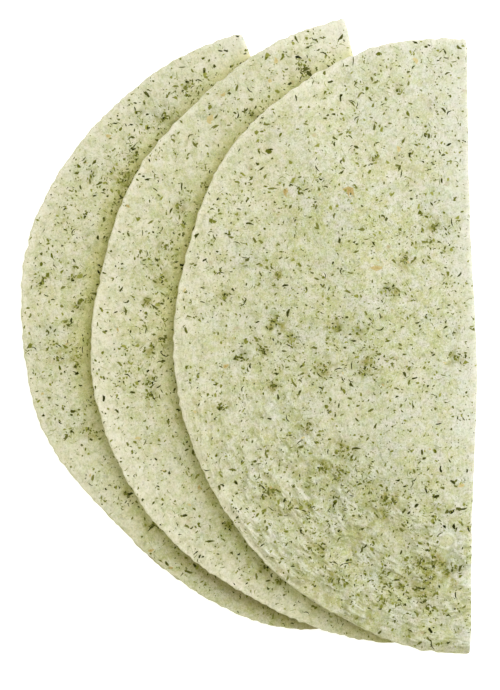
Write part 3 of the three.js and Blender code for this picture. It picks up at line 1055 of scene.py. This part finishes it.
    # Painted shade: a yellower tint next to the rim of the wrap that lies on this one.
    colour = s.blend(s.attribute("painted_shade_tint"), colour, (0.97, 0.965, 0.68, 1.0), "MULTIPLY")
    # Painted shadow: browner, darker dough at the lower left of that rim.
    colour = s.blend(s.attribute("painted_shadow"), colour, (0.6, 0.54, 0.46, 1.0), "MULTIPLY")

    crumb = s.bump(blister_rim, 0.14, s.bump(grain, 0.07, s.bump(mottle, 0.16)))
    relief = s.bump(s.times(ridges, wrinkle), 2.3, crumb)
    s.put(s.surface, Base_Color=colour, Roughness=s.remap(patch, 0.3, 0.7, 0.76, 0.9), Normal=relief)
    s.surface.inputs["Specular IOR Level"].default_value = 0.15
    return s.owner


def herb_material(name, dark, light, grain_size, grain_share=0.5):
    """Its shade differs from flake to flake and along each flake. The two colours are screen colours."""
    s = Shader(bpy.data.materials.new(name))
    grain = s.noise(s.millimetres(), grain_size, 2)
    shade = s.math("ADD", s.attribute("shade"), s.times(grain, grain_share))
    colour = s.blend(s.remap(shade, 0.2, 1.9), seen(*dark), seen(*light))
    roughness = s.remap(grain, 0.3, 0.7, 0.65, 0.88)
    s.put(s.surface, Base_Color=colour, Roughness=roughness, Normal=s.bump(grain, 0.05))
    s.surface.inputs["Specular IOR Level"].default_value = 0.04
    return s.owner


def floor_material():
    """Plain pale studio board with a very faint grain, lit a little from below as a light table is."""
    s = Shader(bpy.data.materials.new("studio_board"))
    grain = s.noise(s.millimetres(), 60, 3)
    s.put(s.surface, Base_Color=s.blend(grain, (0.92, 0.92, 0.92, 1), (0.94, 0.94, 0.94, 1)))
    s.surface.inputs["Roughness"].default_value = 0.95
    s.surface.inputs["Emission Color"].default_value = (0.9, 0.91, 1.0, 1.0)
    s.surface.inputs["Emission Strength"].default_value = 0.62
    return s.owner


# ---- Floor, lights and camera ----
FLOOR_HALF = 1600
FLOOR_DROP = 0.05       # how far below the resting plane, so that the underside isn't in the floor


def add_floor():
    square = np.array([(-1, -1, 0), (1, -1, 0), (1, 1, 0), (-1, 1, 0)]) * FLOOR_HALF
    add_mesh("floor", square - np.array([0, 0, FLOOR_DROP]), [(0, 1, 2, 3)], floor_material())


def light_studio():
    """White walls low down, a warm soft light overhead, and a cooler soft light from the upper right."""
    walls_end, ceiling_start = 0.18, 0.4        # sines of the elevation
    walls, ceiling = (1.27, 1.27, 1.29, 1.0), (0.975, 0.964, 0.668, 1.0)
    s = Shader(bpy.data.worlds.new("studio"))
    way_up = s.axis(s.node("ShaderNodeTexCoord").outputs["Generated"], "Z")
    colour = s.blend(s.remap(way_up, walls_end, ceiling_start, rise="LINEAR"), walls, ceiling)
    s.put(s.tree.nodes["Background"], Color=colour, Strength=0.76)

    # A square light aimed at the stack. Azimuth 0 is towards +X, 90 towards +Y.
    azimuth, elevation, metres_away = math.radians(42), math.radians(38), 1.25
    light = bpy.data.lights.new("soft_light", "AREA")
    light.shape = "SQUARE"
    light.size = 1.2
    light.energy = 13.45
    light.color = (1.0, 1.01, 1.41)
    lamp = bpy.data.objects.new("soft_light", light)
    flat = math.cos(elevation)
    way = Vector((flat * math.cos(azimuth), flat * math.sin(azimuth), math.sin(elevation)))
    lamp.location = way * metres_away
    lamp.rotation_euler = way.to_track_quat("Z", "Y").to_euler()

    scene = bpy.context.scene
    scene.collection.objects.link(lamp)
    scene.world = s.owner
    scene.view_settings.view_transform = "Standard"
    scene.view_settings.look = "None"


def add_camera():
    """Looks straight down. The photo's frame is 500 by 690 pixels, 2.448 of them to a millimetre."""
    photo_height_px, px_per_mm = 690, 2.448
    height, sharp_at, sensor = 783.0, 8.0, 36.0
    photo_middle = np.array([0.41, -3.68, 0.0]) + SHIFT
    data = bpy.data.cameras.new("camera")
    data.sensor_width = sensor
    data.lens = sensor * (height - sharp_at) * px_per_mm / photo_height_px
    data.clip_end = 10
    eye = bpy.data.objects.new("camera", data)
    eye.location = Vector((photo_middle[0], photo_middle[1], height)) * MM
    bpy.context.scene.collection.objects.link(eye)
    bpy.context.scene.camera = eye


# ---- Build ----
sheets = [Sheet(level) for level in range(len(WRAPS))]
everything = np.concatenate([sheet.outer.reshape(-1, 3) for sheet in sheets])
low, high = everything.min(axis=0), everything.max(axis=0)
SHIFT = np.array([-(low[0] + high[0]) / 2, -(low[1] + high[1]) / 2, 0.0])

scatter_herbs(sheets)
scatter_toasted(sheets)
dough = dough_material()
for sheet in sheets:
    piece = wrap_object(sheet, dough)
    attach(piece, "root")
    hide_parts(sheet.wrap["name"])

add_floor()
light_studio()
add_camera()
